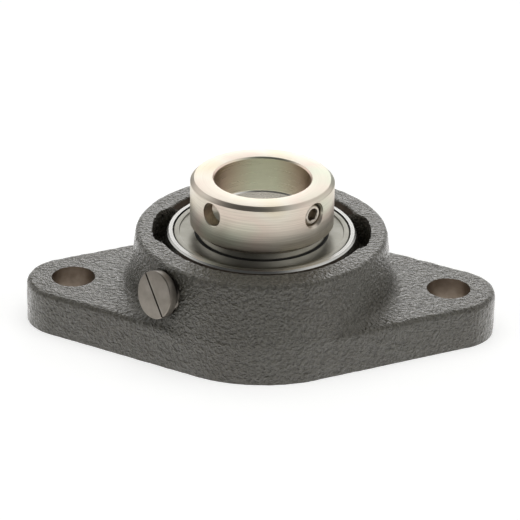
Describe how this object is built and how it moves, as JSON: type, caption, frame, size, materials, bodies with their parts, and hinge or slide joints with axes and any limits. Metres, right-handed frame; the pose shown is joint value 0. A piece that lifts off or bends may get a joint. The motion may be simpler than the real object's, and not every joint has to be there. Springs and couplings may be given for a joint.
{
  "type": "flange bearing unit",
  "caption": "Bolt-on flange bearing unit: cast housing with a spherical seat, a sealed ball bearing insert that swivels in it, and an eccentric locking collar for the shaft.",
  "frame": {"origin": "on the shaft axis, in the plane of the mounting face", "axes": "+Z along the shaft away from the mounting face, X through both bolt holes"},
  "size_m": [0.124, 0.07, 0.0421],
  "materials": {
    "cast_iron": "sand cast, bare",
    "zinc_plug": "matt zinc plate",
    "bearing_steel": "ground",
    "ball_steel": "polished",
    "polyamide": "moulded",
    "seal_sheet": "zinc plated sheet",
    "nitrile_rubber": "moulded",
    "collar_steel": "turned, yellow passivated zinc",
    "screw_steel": "bright edge, dark socket"
  },
  "bodies": {
    "housing": {"housing": "cast_iron"},
    "plug": {"lubrication_plug": "zinc_plug"},
    "insert_outer": {"outer_ring": "bearing_steel", "front_seal_washer": "seal_sheet", "front_seal_lip": "nitrile_rubber", "front_seal_backing": "seal_sheet", "rear_seal_washer": "seal_sheet", "rear_seal_lip": "nitrile_rubber", "rear_seal_backing": "seal_sheet"},
    "insert_inner": {"inner_ring": "bearing_steel"},
    "cage": {"ball_cage": "polyamide"},
    "ball_1": {"ball_1": "ball_steel"},
    "ball_2": {"ball_2": "ball_steel"},
    "ball_3": {"ball_3": "ball_steel"},
    "ball_4": {"ball_4": "ball_steel"},
    "ball_5": {"ball_5": "ball_steel"},
    "ball_6": {"ball_6": "ball_steel"},
    "ball_7": {"ball_7": "ball_steel"},
    "ball_8": {"ball_8": "ball_steel"},
    "ball_9": {"ball_9": "ball_steel"},
    "collar": {"locking_collar": "collar_steel"},
    "set_screw": {"collar_set_screw": "screw_steel"}
  },
  "joints": [
    {"name": "insert_swivel", "type": "hinge", "parent": "housing", "child": "insert_outer", "pos_m": [0, 0, 0.0186], "axis": [1, 0, 0], "range_deg": [-5, 5]},
    {"name": "inner_ring_spin", "type": "hinge", "parent": "insert_outer", "child": "insert_inner", "pos_m": [0, 0, 0.0186], "axis": [0, 0, 1], "continuous": true},
    {"name": "cage_orbit", "type": "hinge", "parent": "insert_outer", "child": "cage", "pos_m": [0, 0, 0.0186], "axis": [0, 0, 1], "continuous": true},
    {"name": "ball_1_roll", "type": "hinge", "parent": "cage", "child": "ball_1", "pos_m": [0.01952, 0, 0.0186], "axis": [0, 0, 1], "continuous": true},
    {"name": "ball_2_roll", "type": "hinge", "parent": "cage", "child": "ball_2", "pos_m": [0.01495, 0.01255, 0.0186], "axis": [0, 0, 1], "continuous": true},
    {"name": "ball_3_roll", "type": "hinge", "parent": "cage", "child": "ball_3", "pos_m": [0.00339, 0.01922, 0.0186], "axis": [0, 0, 1], "continuous": true},
    {"name": "ball_4_roll", "type": "hinge", "parent": "cage", "child": "ball_4", "pos_m": [-0.00976, 0.0169, 0.0186], "axis": [0, 0, 1], "continuous": true},
    {"name": "ball_5_roll", "type": "hinge", "parent": "cage", "child": "ball_5", "pos_m": [-0.01834, 0.00668, 0.0186], "axis": [0, 0, 1], "continuous": true},
    {"name": "ball_6_roll", "type": "hinge", "parent": "cage", "child": "ball_6", "pos_m": [-0.01834, -0.00668, 0.0186], "axis": [0, 0, 1], "continuous": true},
    {"name": "ball_7_roll", "type": "hinge", "parent": "cage", "child": "ball_7", "pos_m": [-0.00976, -0.0169, 0.0186], "axis": [0, 0, 1], "continuous": true},
    {"name": "ball_8_roll", "type": "hinge", "parent": "cage", "child": "ball_8", "pos_m": [0.00339, -0.01922, 0.0186], "axis": [0, 0, 1], "continuous": true},
    {"name": "ball_9_roll", "type": "hinge", "parent": "cage", "child": "ball_9", "pos_m": [0.01495, -0.01255, 0.0186], "axis": [0, 0, 1], "continuous": true},
    {"name": "collar_lock", "type": "hinge", "parent": "insert_inner", "child": "collar", "pos_m": [0, 0, 0.0186], "axis": [0, 0, 1], "range_deg": [-15, 15]},
    {"name": "set_screw_travel", "type": "slide", "parent": "collar", "child": "set_screw", "axis": [0.7431, -0.6691, 0], "range_m": [0, 0.003]},
    {"name": "plug_removal", "type": "slide", "parent": "housing", "child": "plug", "axis": [-0.6941, -0.6941, 0.1908], "range_m": [0, 0.012]}
  ],
  "couplings": [
    {"joint": "cage_orbit", "follows": "inner_ring_spin", "ratio": 0.39831},
    {"joint": "ball_1_roll", "follows": "inner_ring_spin", "ratio": -2.3567},
    {"joint": "ball_2_roll", "follows": "inner_ring_spin", "ratio": -2.3567},
    {"joint": "ball_3_roll", "follows": "inner_ring_spin", "ratio": -2.3567},
    {"joint": "ball_4_roll", "follows": "inner_ring_spin", "ratio": -2.3567},
    {"joint": "ball_5_roll", "follows": "inner_ring_spin", "ratio": -2.3567},
    {"joint": "ball_6_roll", "follows": "inner_ring_spin", "ratio": -2.3567},
    {"joint": "ball_7_roll", "follows": "inner_ring_spin", "ratio": -2.3567},
    {"joint": "ball_8_roll", "follows": "inner_ring_spin", "ratio": -2.3567},
    {"joint": "ball_9_roll", "follows": "inner_ring_spin", "ratio": -2.3567}
  ]
}
